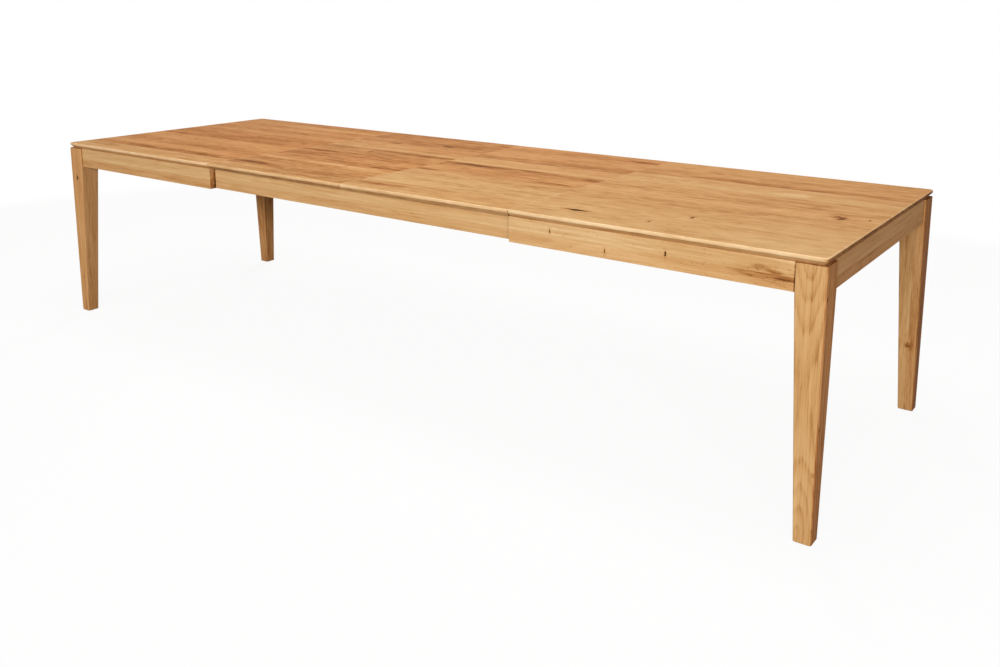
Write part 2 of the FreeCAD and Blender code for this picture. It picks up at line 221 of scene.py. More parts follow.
def oiled_oak(name, node, grain, across, staves, marks=(), fleck=0.0, arch=None,
              figure=BOARD_FIGURE, joints=()):
    """Oiled oak for one CAD piece, its grain along one axis and its staves side by side along another.

    Staves are (width, tone, redness) from the high side down. Their widths share out the piece's width.
    Marks are (centre, half sizes, darkness, bulge), with centre and half sizes in mm and bulge in metres:
    knots and streaks, light bands where the darkness is below zero, and patches of painted shade. The growth
    rings swell round a mark by its bulge. An arch, as its middle and half length along the grain in mm, bends
    the rings into nested arches that point to its middle from both sides. Shaded joints are the places along
    the grain, in metres, where another piece meets this one; a painted shadow line darkens each.
    """
    material = empty_material(name)
    tree = material.node_tree
    low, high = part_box(node)
    depth = (set(AXES) - {grain, across}).pop()
    g, a, d = AXES.index(grain), AXES.index(across), AXES.index(depth)
    coordinates = put(tree, "ShaderNodeTexCoord").outputs
    place = coordinates["Object"]
    parts = put(tree, "ShaderNodeSeparateXYZ", {0: place}).outputs

    # Which stave a point is in: its tone, redness, own number and middle
    share = rescale(tree, parts[a], high[a], low[a])
    whole = sum(stave[0] for stave in staves)
    stops = []
    start = 0.0
    for i, (width, tone, redness) in enumerate(staves):
        part = width / whole
        own_number = (FIRST_NUMBER + NUMBER_STEP * i + LETTER_STEP * len(name)) % 1.0
        stops.append((start, (0.5 + 0.5 * tone, redness, own_number, start + part / 2)))
        start += part
    stave = ramp(tree, share, stops, "CONSTANT")
    tone, redness, own_number = put(tree, "ShaderNodeSeparateColor", {0: stave.outputs["Color"]}).outputs[:3]
    off_middle = number(tree, "SUBTRACT", stave.outputs["Alpha"], share)
    off_middle = number(tree, "MULTIPLY", off_middle, high[a] - low[a])

    # Each stave comes from another place in the tree
    spot_in_tree = {}
    for i, (part, apart) in enumerate(zip((parts[g], parts[a], parts[d]), TREE_APART)):
        spot_in_tree[i] = number(tree, "MULTIPLY_ADD", own_number, apart, part)
    in_tree = put(tree, "ShaderNodeCombineXYZ", spot_in_tree).outputs[0]
    layers = [noise(tree, in_tree, (along, beside, beside), 3.0, 0.6) for along, beside, strength in figure]
    cloud, streak, dash = layers[0], layers[1], layers[-1]
    pore = noise(tree, in_tree, PORE_WAVES, 2.0)

    # Knots, streaks, light bands and patches of painted shade, with uneven edges
    wander = noise(tree, in_tree, WANDER_WAVES, 3.0, 0.6, output=1)
    wander = vector(tree, "SUBTRACT", wander, (0.5, 0.5, 0.5))
    swing = [MARK_SWING] * 3
    swing[g] = MARK_SWING_ALONG
    uneven = vector(tree, "ADD", place, vector(tree, "MULTIPLY", wander, tuple(swing)))
    speckle = noise(tree, place, SPECKLE_WAVES, 2.0)
    ragged = rescale(tree, speckle, *NOISE_RANGE, -MARK_RAGGED, MARK_RAGGED)
    darkness = None
    swelling = None
    for centre, half_sizes, dark, bulge in marks:
        off = vector(tree, "SUBTRACT", place if bulge else uneven, Vector(centre) * MM)
        away = reach(tree, vector(tree, "DIVIDE", off, Vector(half_sizes) * MM))
        if bulge:
            away = number(tree, "ADD", away, ragged)
            halo = rescale(tree, away, *HALO_REACH, 0.0, HALO_SHARE * dark, smooth=True)
            darkness = add_up(tree, darkness, halo)
            swell = rescale(tree, away, *SWELL_REACH, 0.0, bulge, smooth=True)
            swelling = add_up(tree, swelling, swell)
        spot = rescale(tree, away, *SPOT_REACH, 0.0, dark, smooth=True)
        darkness = add_up(tree, darkness, spot)
    # Painted shadow lines where another piece meets this one
    for joint in joints:
        away = number(tree, "ABSOLUTE", number(tree, "SUBTRACT", parts[g], joint))
        line = rescale(tree, away, JOINT_SHADOW_WIDTH, JOINT_SHADOW_CORE * JOINT_SHADOW_WIDTH, 0.0, JOINT_SHADOW_DARKNESS, smooth=True)
        darkness = add_up(tree, darkness, line)

    # Growth rings round a pith that lies beside the visible face and wanders along the stave
    drift = noise(tree, in_tree, DRIFT_WAVES, 1.0, output=1)
    drift = put(tree, "ShaderNodeSeparateColor", {0: drift}).outputs
    pith_across = rescale(tree, drift[0], *NOISE_RANGE, -PITH_ACROSS, PITH_ACROSS)
    pith_depth = rescale(tree, drift[1], *NOISE_RANGE, *PITH_DEPTH)
    if arch is not None:
        past = number(tree, "DIVIDE", number(tree, "SUBTRACT", parts[g], arch[0] * MM), arch[1] * MM)
        fall = number(tree, "MINIMUM", number(tree, "MULTIPLY", past, past), 1.0)
        pith_depth = number(tree, "MULTIPLY_ADD", fall, -ARCH_PITH_FALL, ARCH_PITH_DEPTH)
        pith_across = rescale(tree, drift[0], *NOISE_RANGE, -ARCH_PITH_ACROSS, ARCH_PITH_ACROSS)
    ring_across = number(tree, "ADD", off_middle, pith_across)
    off_centre = number(tree, "SUBTRACT", parts[d], (low[d] + high[d]) / 2)
    ring_depth = number(tree, "ADD", off_centre, pith_depth)
    radius = reach(tree, put(tree, "ShaderNodeCombineXYZ", {0: ring_across, 1: ring_depth}).outputs[0])
    if swelling is not None:
        radius = number(tree, "SUBTRACT", radius, swelling)
    phase = number(tree, "MULTIPLY", radius, RINGS_PER_METRE)
    phase = number(tree, "MULTIPLY_ADD", cloud, RING_CLOUD_BEND, phase)
    phase = number(tree, "MULTIPLY_ADD", streak, RING_STREAK_BEND, phase)
    ring = number(tree, "FRACT", phase)
    late_wood = ramp(tree, ring, RING_STOPS).outputs["Color"]

    # Shade from dark to light, then the colour
    shade = number(tree, "MULTIPLY_ADD", tone, TONE_SHARE, MIDDLE_SHADE)
    for layer, (along, beside, strength) in zip(layers, figure):
        shade = number(tree, "MULTIPLY_ADD", number(tree, "SUBTRACT", layer, 0.5), strength, shade)
    ring_darkness = LATE_WOOD_DARKNESS if arch is None else ARCH_WOOD_DARKNESS
    shade = number(tree, "MULTIPLY_ADD", late_wood, -ring_darkness, shade)
    pores = rescale(tree, pore, *PORE_RANGE)
    shade = number(tree, "MULTIPLY_ADD", pores, -PORE_DARKNESS, shade)
    if fleck:
        ray = noise(tree, in_tree, RAY_WAVES, 2.0)
        ray = rescale(tree, ray, *RAY_RANGE)
        shade = number(tree, "MULTIPLY_ADD", ray, -fleck, shade)
    if darkness is not None:
        shade = number(tree, "SUBTRACT", shade, darkness)
    facing = put(tree, "ShaderNodeSeparateXYZ", {0: coordinates["Normal"]}).outputs[g]
    end_grain = rescale(tree, number(tree, "ABSOLUTE", facing), *END_GRAIN_RANGE)
    shade = number(tree, "MULTIPLY_ADD", end_grain, -END_GRAIN_DARKNESS, shade)
    # Painted light and shade along the edges, from a mesh attribute: highlights on lips and arrises, shade on
    # bevels and end lips
    painted_edge_light = put(tree, "ShaderNodeAttribute", attribute_name="painted_edge_light").outputs["Fac"]
    shade = number(tree, "MULTIPLY_ADD", painted_edge_light, PAINTED_EDGE_LIGHT_SHARE, shade)
    colour = ramp(tree, shade, OAK_SHADES).outputs["Color"]
    colour = mix(tree, "MULTIPLY", redness, colour, (*OAK_RED, 1.0))

    relief = number(tree, "MULTIPLY_ADD", pores, -PORE_RELIEF, dash)
    feeds = {"Height": relief, "Strength": OAK_BUMP, "Distance": OAK_BUMP_DEPTH}
    bump = put(tree, "ShaderNodeBump", feeds).outputs[0]
    rough = rescale(tree, dash, *NOISE_RANGE, *OAK_ROUGHNESS)
    surface(tree, {"Base Color": colour, "Roughness": rough, "Specular IOR Level": OAK_GLOSS, "Normal": bump})
    return material


WELD_DISTANCE = 0.01 * MM
FLAT_ANGLE = 1
SHARP_ANGLE = 40
ARRIS_HIGHLIGHT = 0.7


def eased_copy(node, ease):
    """A copy of a CAD piece whose sharp outer arrises are eased, as a hand plane leaves them."""
    mesh = frame["nodes"][node].data.copy()
    shape = bmesh.new()
    shape.from_mesh(mesh)
    bmesh.ops.remove_doubles(shape, verts=shape.verts, dist=WELD_DISTANCE)
    flat = math.radians(FLAT_ANGLE)
    bmesh.ops.dissolve_limit(shape, angle_limit=flat, verts=shape.verts, edges=shape.edges)
    painted_edge_light = shape.faces.layers.float.new("painted_edge_light")
    outer = [edge for edge in shape.edges if edge.is_manifold and edge.is_convex]
    sharp = [edge for edge in outer if edge.calc_face_angle() > math.radians(SHARP_ANGLE)]
    arrises = bmesh.ops.bevel(shape, geom=sharp, offset=ease, segments=2, profile=0.5, affect="EDGES",
                              clamp_overlap=True)
    # The eased arrises get a painted highlight
    for face in arrises["faces"]:
        face[painted_edge_light] = ARRIS_HIGHLIGHT
    for face in shape.faces:
        face.smooth = False
    shape.to_mesh(mesh)
    shape.free()
    mesh.materials.clear()
    piece = bpy.data.objects.new(node + "_finished", mesh)
    bpy.context.scene.collection.objects.link(piece)
    return piece


def fit(piece, node, material):
    """Gives a piece its finish and sets it in the place of a CAD node, on the node's body."""
    piece.data.materials.append(material)
    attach(piece, frame["nodes"][node]["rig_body"])
    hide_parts(node)


for node in ("front_rail", "back_rail"):
    rail_oak = oiled_oak(node + "_oak", node, "X", "Z", RAIL_STAVES, fleck=RAIL_FLECK, figure=RAIL_FIGURE)
    fit(eased_copy(node, RAIL_EASE), node, rail_oak)

# Cross boards and stop pegs: low beech boards between the rails, held by dowels, and turned pegs glued
# upright in the outer boards. A batten under each end meets the pegs when the table is fully open.
BOARD_EASE = 1.5 * MM
PEG_CHAMFER = 2.0 * MM
BEECH_SHADES = [
    (0.0, srgb(150, 104, 70)),
    (0.5, srgb(205, 163, 122)),
    (1.0, srgb(226, 190, 152)),
]
BEECH_WAVES_ALONG = 3.0
BEECH_WAVES_ACROSS = 30.0
BEECH_FLECK_WAVES = 12
BEECH_FLECK_RANGE = (0.58, 0.66)
BEECH_FLECK_DARKNESS = 0.16
BEECH_CLOUD = 0.8
BEECH_DARKEST = 0.12
BEECH_BUMP = 0.1
BEECH_BUMP_DEPTH = 0.3 * MM
BEECH_ROUGHNESS = (0.55, 0.68)
BEECH_GLOSS = 0.3


def plain_beech(name, grain):
    """Planed beech: even pinkish tan with short dark flecks along the grain."""
    material = empty_material(name)
    tree = material.node_tree
    place = put(tree, "ShaderNodeTexCoord").outputs["Object"]
    stretch = [BEECH_WAVES_ACROSS] * 3
    stretch[AXES.index(grain)] = BEECH_WAVES_ALONG
    cloud = noise(tree, place, tuple(stretch), 3.0)
    fleck = noise(tree, place, tuple(BEECH_FLECK_WAVES * s for s in stretch), 2.0)
    fleck = rescale(tree, fleck, *BEECH_FLECK_RANGE)
    shade = number(tree, "MULTIPLY_ADD", cloud, BEECH_CLOUD, BEECH_DARKEST)
    shade = number(tree, "MULTIPLY_ADD", fleck, -BEECH_FLECK_DARKNESS, shade)
    colour = ramp(tree, shade, BEECH_SHADES).outputs["Color"]
    feeds = {"Height": fleck, "Strength": BEECH_BUMP, "Distance": BEECH_BUMP_DEPTH}
    bump = put(tree, "ShaderNodeBump", feeds).outputs[0]
    rough = rescale(tree, cloud, *NOISE_RANGE, *BEECH_ROUGHNESS)
    feeds = {"Base Color": colour, "Roughness": rough, "Specular IOR Level": BEECH_GLOSS, "Normal": bump}
    surface(tree, feeds)
    return material


def turned(shape, centre, profile, sides=32):
    """Adds a turned form to a mesh: (radius, height) pairs from foot to top, round an upright line."""
    rings = []
    for radius, height in profile:
        ring = []
        for i in range(sides):
            turn = 2 * math.pi * i / sides
            spot = centre + Vector((radius * math.cos(turn), radius * math.sin(turn), height))
            ring.append(shape.verts.new(spot))
        rings.append(ring)
    shape.faces.new(list(reversed(rings[0])))
    shape.faces.new(rings[-1])
    for low, high in zip(rings, rings[1:]):
        for i in range(sides):
            after = (i + 1) % sides
            wall = shape.faces.new([low[i], low[after], high[after], high[i]])
            wall.smooth = True


def solid_piece(name, shape, sharp_angle=35):
    """Turns a mesh under work into a piece, its faces outwards and its arrises sharp past an angle."""
    bmesh.ops.recalc_face_normals(shape, faces=shape.faces)
    mesh = bpy.data.meshes.new(name)
    shape.to_mesh(mesh)
    shape.free()
    mesh.set_sharp_from_angle(angle=math.radians(sharp_angle))
    piece = bpy.data.objects.new(name, mesh)
    bpy.context.scene.collection.objects.link(piece)
    return piece


beech_along = plain_beech("beech_along", "X")
beech_across = plain_beech("beech_across", "Y")
beech_upright = plain_beech("beech_upright", "Z")
for side in ("left", "middle", "right"):
    node = side + "_cross_board"
    fit(eased_copy(node, BOARD_EASE), node, beech_across)
for side in ("left", "right"):
    node = side + "_stop_pegs"
    low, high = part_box(node)
    peg_radius = (high.x - low.x) / 2
    peg_height = high.z - low.z
    pegs = bmesh.new()
    for y in (low.y + peg_radius, high.y - peg_radius):
        foot = Vector((low.x + peg_radius, y, low.z))
        shoulder = (peg_radius, peg_height - PEG_CHAMFER)
        turned(pegs, foot, [(peg_radius, 0.0), shoulder, (peg_radius - PEG_CHAMFER, peg_height)])
    fit(solid_piece(node + "_turned", pegs), node, beech_upright)
frame["nodes"]["cross_board_dowels"].data.materials.clear()
frame["nodes"]["cross_board_dowels"].data.materials.append(beech_across)

# Legs: solid oak, square beside the aprons and tapered on the two inner faces below them.
# The outermost corner is rounded over, the other three are just eased, and the foot is chamfered.
LEG_CORNER_RADIUS = 6.0 * MM
LEG_EASE = 3.0 * MM
LEG_FOOT_SIZE = 48.0 * MM
LEG_CHAMFER = 1.5 * MM
LEG_TOP_EASE = 0.8 * MM
LEG_FLAT_MARGIN = 1.5 * MM
LEG_LEAST_RADIUS = 0.5 * MM
LEG_CORNER_STEPS = 10
LEG_EASE_STEPS = 4
# The first, 3 mm stave of each right leg is its outer +X face: its darker, redder tone is partly the wood and
# partly painted shade
LEG_STAVES = {
    "right_front": [(3, -0.3, 0.6), (77, 0.19, 0.0)],
    "right_back": [(3, -0.85, 0.4), (26, -0.12, 0.25), (14, 0.16, 0.0), (37, -0.1, 0.05)],
    "left_front": [(1, 0.16, 0.35)],
    "left_back": [(1, -0.32, 0.3)],
}
LEG_ARCHES = {"right_front": (400, 430), "right_back": None, "left_front": None, "left_back": None}
LEG_MARKS = {
    "right_front": [
        ((1648, -527, 655), (4, 4, 9), 0.35, 0.004), ((1647, -526, 315), (4, 4, 6), 0.35, 0.004),
        ((1643, -531, 198), (4, 4, 5), 0.35, 0.005),
    ],
    "right_back": [((1618, 477, 235), (11, 9, 13), 0.22, 0.01)],
    "left_front": [((-1607, -534, 608), (6, 8, 8), 0.6, 0.006)],
    "left_back": [],
}


def leg_outline(size, inset, height, corner, toward):
    """One level of a leg as a ring of points: its outer corner stays in place and has the large radius."""
    edge = size - 2 * inset
    outer = Vector((corner.x - toward[0] * inset, corner.y - toward[1] * inset, height))
    steps = [(0, 0), (-1, 0), (-1, -1), (0, -1)]
    corners = [outer + Vector((toward[0] * sx * edge, toward[1] * sy * edge, 0)) for sx, sy in steps]
    ring = []
    for i, here in enumerate(corners):
        radius = max((LEG_CORNER_RADIUS if i == 0 else LEG_EASE) - inset, LEG_LEAST_RADIUS)
        segments = LEG_CORNER_STEPS if i == 0 else LEG_EASE_STEPS
        to_before = (corners[i - 1] - here).normalized()
        to_after = (corners[(i + 1) % 4] - here).normalized()
        centre = here + (to_before + to_after) * radius
        ring.append(here + to_before * (radius + LEG_FLAT_MARGIN))
        for k in range(segments + 1):
            turn = math.radians(90) * k / segments
            ring.append(centre - to_after * radius * math.cos(turn) - to_before * radius * math.sin(turn))
        ring.append(here + to_after * (radius + LEG_FLAT_MARGIN))
    return ring


def stacked(rings, finish=()):
    """A closed mesh from level rings of points, lowest first, and each wall's painted edge light and shade.
    """
    shape = bmesh.new()
    painted_edge_light = shape.faces.layers.float.new("painted_edge_light")
    levels = [[shape.verts.new(point) for point in ring] for ring in rings]
    shape.faces.new(levels[0])
    shape.faces.new(levels[-1])
    for number_up, (low, high) in enumerate(zip(levels, levels[1:])):
        for i in range(len(low)):
            after = (i + 1) % len(low)
            wall = shape.faces.new([low[i], low[after], high[after], high[i]])
            wall.smooth = True
            if number_up < len(finish):
                wall[painted_edge_light] = finish[number_up]
    return shape


knee_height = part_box("right_front_apron")[0].z
for side, way_x in (("left", -1), ("right", 1)):
    for row, way_y in (("front", -1), ("back", 1)):
        node = side + "_" + row + "_leg"
        low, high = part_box(node)
        size = high.x - low.x
        corner = Vector((high.x if way_x > 0 else low.x, high.y if way_y > 0 else low.y, 0))
        levels = [
            (LEG_FOOT_SIZE, LEG_CHAMFER, low.z),
            (LEG_FOOT_SIZE, 0.0, low.z + LEG_CHAMFER),
            (size, 0.0, knee_height),
            (size, 0.0, high.z - LEG_TOP_EASE),
            (size, LEG_TOP_EASE, high.z),
        ]
        leg = stacked([leg_outline(s, inset, z, corner, (way_x, way_y)) for s, inset, z in levels])
        which = side + "_" + row
        leg_oak = oiled_oak(node + "_oak", node, "Z", "X", LEG_STAVES[which], LEG_MARKS[which],
                            arch=LEG_ARCHES[which], figure=RAIL_FIGURE)
        fit(solid_piece(node + "_shaped", leg), node, leg_oak)

# Aprons: oak boards doweled between the legs, three to an end, each glued from two staves,
# with eased arrises. The side aprons stop at the seam, so their end grain shows there.
APRON_EASE = 1.2 * MM
# The end aprons' darker, redder tone is partly the wood and partly painted shade of the faces at the table's
# ends
APRON_STAVES = {
    "front_apron": [(42, 0.9, 0.0), (36, 0.5, 0.15)],
    "back_apron": [(46, 0.5, 0.1), (30, 0.1, 0.35)],
    "end_apron": [(46, 0.25, 0.3), (30, 0.0, 0.4)],
}
APRON_MARKS = {
    "left_front_apron": [
        # The first mark is painted shade at the back edge of the apron's end, in the corner where it meets
        # the rail
        ((-700, -506, 699), (5, 7, 60), 0.22, 0.001), ((-1130, -528, 697), (1100, 60, 200), 0.06, 0),
    ],
    "right_front_apron": [
        ((845, -528, 712), (3, 10, 8), 0.5, 0.005), ((1028, -528, 682), (3, 10, 8), 0.45, 0.005),
        ((1214, -528, 704), (3.5, 10, 9), 0.55, 0.006), ((1478, -528, 711), (36, 14, 8), 0.13, 0),
        ((1512, -528, 704), (32, 14, 8), 0.19, 0), ((1546, -528, 687), (36, 14, 7), 0.16, 0),
        ((1538, -528, 708), (34, 14, 7), -0.1, 0.02), ((1500, -528, 697), (130, 14, 40), 0.11, 0),
        ((1400, -528, 697), (330, 20, 70), 0.1, 0),
    ],
}
APRON_FLECK = {"right_front_apron": 0.11}
PLAIN_FLECK = 0.06
for side in ("left", "right"):
    for board, grain in (("front_apron", "X"), ("back_apron", "X"), ("end_apron", "Y")):
        node = side + "_" + board
        front_leg, back_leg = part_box(side + "_front_leg"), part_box(side + "_back_leg")
        # Painted shadow lines where the legs meet the apron
        joints = [front_leg[0].x if side == "right" else front_leg[1].x]
        if grain == "Y":
            joints = [front_leg[1].y, back_leg[0].y]
        apron_oak = oiled_oak(node + "_oak", node, grain, "Z", APRON_STAVES[board], APRON_MARKS.get(node, ()),
                              APRON_FLECK.get(node, PLAIN_FLECK), figure=RAIL_FIGURE, joints=joints)
        fit(eased_copy(node, APRON_EASE), node, apron_oak)

# Runners, battens and buttons: planed beech under the end tops, held by screws.
# A runner's tongue rides in the rail's groove, and each button's tongue sits in a slot of the end apron.
UNDER_EASE = 1.0 * MM
UNDER_BOARDS = [
    ("front_runner", beech_along), ("back_runner", beech_along), ("stop_batten", beech_across),
    ("top_batten", beech_across), ("buttons", beech_along),
]
for side in ("left", "right"):
    for board, finish in UNDER_BOARDS:
        node = side + "_" + board
        fit(eased_copy(node, UNDER_EASE), node, finish)
    for dowels in ("apron_dowels", "top_dowels"):
        hidden = frame["nodes"][side + "_" + dowels].data.materials
        hidden.clear()
        hidden.append(beech_upright)

# End tops: boards of oak staves glued side by side, 22 mm thick. A deep bevel under the outer edges leaves
# a thin lip, the upper arris is rounded, and the two free corners are rounded in plan.
LIP_HEIGHT = 9.0 * MM
UNDER_BEVEL = 13.0 * MM
TOP_ROUND = 3.0 * MM
LIP_ROUND = 1.6 * MM
PLAN_RADIUS = 14.0 * MM
BEVEL_CORNER = 6.0 * MM
SEAM_CHAMFER = 0.7 * MM
SEAM_EASE = 1.5 * MM
ROUND_STEPS = 6
CORNER_STEPS = 8
# Painted shade on the downward bevel and on the lip across each end; a painted highlight on the end's top
# arris
BEVEL_SHADE = -0.15
END_LIP_SHADE = -0.3
END_ARRIS_HIGHLIGHT = 0.9
END_LIP_REACH = 1.3
CRACK_PLACE = (868.0 * MM, -423.0 * MM)
CRACK_LENGTH = 84.0 * MM
CRACK_WIDTH = 15.0 * MM
CRACK_LEVELS = [(-2.0 * MM, 0.45), (0.0, 1.0), (1.0 * MM, 1.1)]
CRACK_POINTS = 40
CRACK_WAVES = [(3, 0.25, 0.6), (7, 0.15, 0.0)]
LEVEL_NORMAL = 0.9999
END_STAVES = {
    "left": [
        (77, -0.1, 0.55), (72, 0.2, 0.6), (44, -0.25, 0.6), (66, 0.15, 0.6), (55, -0.25, 0.6),
        (72, 0.15, 0.6), (88, -0.2, 0.65), (132, -0.35, 0.65), (154, 0.1, 0.65), (77, -0.15, 0.55),
        (72, 0.2, 0.6), (55, -0.35, 0.5), (112, 0.15, 0.2),
    ],
    "right": [
        (66, 0.0, 0.3), (154, -0.05, 0.3), (50, -0.35, 0.35), (83, 0.15, 0.15), (60, 0.3, 0.0),
        (160, 0.05, 0.15), (88, 0.1, 0.2), (110, 0.0, 0.1), (176, 0.15, 0.05), (129, 0.25, 0.0),
    ],
}
END_MARKS = {
    "left": [
        ((-1292, -145, 760), (10, 16, 14), 0.18, 0.006), ((-1350, -395, 760), (220, 26, 14), 0.09, 0),
        ((-1470, -470, 760), (120, 26, 14), 0.1, 0),
    ],
    "right": [
        # The drying crack: its dark core is partly the wood and partly painted shade in the recess; its dark
        # tails run along the grain
        ((868, -423, 760), (28, 10, 20), 0.46, 0.006), ((868, -421, 760), (80, 8, 20), 0.3, 0),
        ((1530, -76, 760), (32, 32, 14), 0.3, 0.014), ((1518, -88, 760), (17, 18, 14), -0.22, 0),
        ((1541, -86, 760), (9, 13, 14), 0.3, 0),
        ((1612, -58, 760), (4, 12, 14), 0.3, 0.004), ((1191, -315, 760), (6, 15, 14), 0.4, 0.006),
        ((1113, -431, 760), (5, 10, 14), 0.3, 0.004), ((855, 230, 760), (130, 20, 14), -0.16, 0),
        ((1310, 175, 760), (80, 40, 14), -0.14, 0), ((1520, -420, 760), (300, 190, 14), -0.06, 0),
    ],
}


def lip_levels(low_z, high_z):
    """(outer inset, height) pairs up the moulded edge: bevel, lip's lower arris, lip, rounded top arris."""
    lip_z = high_z - LIP_HEIGHT
    slope = math.sqrt(0.5)
    levels = [(UNDER_BEVEL, low_z), (LIP_ROUND * slope, lip_z - LIP_ROUND * slope)]
    levels += [(0.2 * LIP_ROUND, lip_z + 0.1 * LIP_ROUND), (0.0, lip_z + LIP_ROUND)]
    for k in range(ROUND_STEPS + 1):
        turn = math.radians(90) * k / ROUND_STEPS
        levels.append((TOP_ROUND * (1 - math.cos(turn)), high_z - TOP_ROUND * (1 - math.sin(turn))))
    return levels


def lip_light_and_shade(levels):
    """Painted shade on the bevel, which faces down, and a painted highlight on the lip above it."""
    return [BEVEL_SHADE] + [1.0] * (len(levels) - 2)


def shade_end_lip(shape, arris_z):
    """The lip across the end gets painted shade, its top arris a painted highlight. The corners blend."""
    painted_edge_light = shape.faces.layers.float["painted_edge_light"]
    shape.normal_update()
    for face in shape.faces:
        if face[painted_edge_light] > 0:
            level = Vector((face.normal.x, face.normal.y))
            end_share = min(1.0, END_LIP_REACH * abs(level.x) / level.length)
            finish = END_ARRIS_HIGHLIGHT if face.calc_center_median().z > arris_z else END_LIP_SHADE
            face[painted_edge_light] += (finish - face[painted_edge_light]) * end_share


def end_outline(seam_x, end_x, half_width, inset, corner, height, way):
    """One level of an end top, from the seam's front corner round to the seam's back corner."""
    half_width -= inset
    eased_x = seam_x + way * SEAM_EASE
    ring = [Vector((seam_x, SEAM_EASE - half_width, height)), Vector((eased_x, -half_width, height))]
    reach_x = end_x - way * inset
    for side_y in (-1, 1):
        centre = Vector((reach_x - way * corner, side_y * (half_width - corner), height))
        for k in range(CORNER_STEPS + 1):
            turn = math.radians(90) * (k if side_y < 0 else CORNER_STEPS - k) / CORNER_STEPS
            ring.append(centre + Vector((way * math.sin(turn), side_y * math.cos(turn), 0)) * corner)
    ring.append(Vector((eased_x, half_width, height)))
    ring.append(Vector((seam_x, half_width - SEAM_EASE, height)))
    return ring


def crack_outline(height, share):
    """One level of the drying crack beside a knot: a ragged boat shape along the grain."""
    ring = []
    for i in range(CRACK_POINTS):
        turn = 2 * math.pi * i / CRACK_POINTS
        ragged = 1.0
        for waves, depth, start in CRACK_WAVES:
            ragged += depth * math.sin(waves * turn + start)
        along = CRACK_LENGTH / 2 * math.cos(turn) * share
        across = CRACK_WIDTH / 2 * math.sin(turn) * abs(math.sin(turn)) * ragged * share
        ring.append(Vector((CRACK_PLACE[0] + along, CRACK_PLACE[1] + across, height)))
    return ring


def cut_away(piece, tool):
    """Cuts the form of a tool piece out of another piece, and removes the tool."""
    cut = piece.modifiers.new("cut", "BOOLEAN")
    cut.object = tool
    cut.operation = "DIFFERENCE"
    cut.solver = "EXACT"
    after = piece.evaluated_get(bpy.context.evaluated_depsgraph_get())
    piece.data = bpy.data.meshes.new_from_object(after)
    for face in piece.data.polygons:
        if abs(face.normal.z) > LEVEL_NORMAL:
            face.use_smooth = False
    piece.modifiers.clear()
    bpy.data.objects.remove(tool)


for side, way in (("left", -1), ("right", 1)):
    node = side + "_top"
    low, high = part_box(node)
    seam_x, end_x = (low.x, high.x) if way > 0 else (high.x, low.x)
    rings = []
    for inset, height in lip_levels(low.z, high.z):
        corner = max(PLAN_RADIUS - inset, BEVEL_CORNER)
        chamfer = max(0.0, height - (high.z - SEAM_CHAMFER))
        rings.append(end_outline(seam_x + way * chamfer, end_x, high.y, inset, corner, height, way))
    shape = stacked(rings, lip_light_and_shade(rings))
    shade_end_lip(shape, high.z - TOP_ROUND)
    board = solid_piece(node + "_board", shape)
    if side == "right":
        split = [crack_outline(high.z + lift, share) for lift, share in CRACK_LEVELS]
        cut_away(board, solid_piece("crack", stacked(split)))
    end_oak = oiled_oak(node + "_oak", node, "X", "Y", END_STAVES[side], END_MARKS[side])
    fit(board, node, end_oak)

# Leaves: the loose boards between the ends, of the same staves and edge. The edge that meets an end is
# slightly undercut below its lip, so that the seam closes tight, and cleats underneath keep it flat.
LEAF_UNDERCUT = 6.0 * MM
LEAF_STAVES = {
    "left": [
        (50, -0.35, 0.55), (110, -0.4, 0.55), (104, -0.5, 0.45), (127, 0.0, 0.4), (38, 0.3, 0.2),
        (50, -0.45, 0.35), (77, -0.15, 0.4), (60, -0.4, 0.5), (110, -0.3, 0.55), (55, -0.4, 0.5),
        (44, 0.1, 0.45), (88, -0.25, 0.4), (77, -0.4, 0.3), (85, -0.05, 0.15),
    ],
    "right": [
        (66, 0.0, 0.6), (50, -0.3, 0.6), (160, 0.05, 0.5), (72, -0.4, 0.4), (94, 0.15, 0.3),
        (38, 0.5, 0.2), (72, -0.35, 0.35), (99, -0.1, 0.45), (33, -0.3, 0.4), (88, 0.0, 0.1),
        (176, 0.25, 0.0), (88, -0.05, 0.15), (41, 0.2, 0.1),
    ],
}
LEAF_MARKS = {
    "left": [
        ((-231, 330, 760), (34, 18, 14), 0.3, 0), ((-472, 280, 760), (34, 20, 14), 0.16, 0),
        ((-150, 85, 760), (260, 22, 14), 0.17, 0), ((-600, -45, 760), (150, 24, 14), 0.17, 0),
        ((-270, -268, 760), (210, 12, 14), -0.24, 0), ((-605, -405, 760), (130, 26, 14), 0.2, 0),
        ((-401, 40, 760), (8, 14, 14), 0.25, 0.004), ((-235, -265, 760), (8, 12, 14), 0.3, 0.005),
        ((-130, -290, 760), (150, 40, 14), -0.14, 0),
    ],
    "right": [
        ((640, 450, 760), (90, 28, 14), 0.18, 0), ((50, -134, 760), (90, 16, 14), 0.2, 0),
        ((90, -460, 760), (140, 26, 14), 0.16, 0), ((130, 28, 760), (220, 22, 14), 0.14, 0),
        ((660, 5, 760), (60, 20, 14), 0.18, 0), ((570, -112, 760), (110, 14, 14), 0.16, 0),
    ],
}
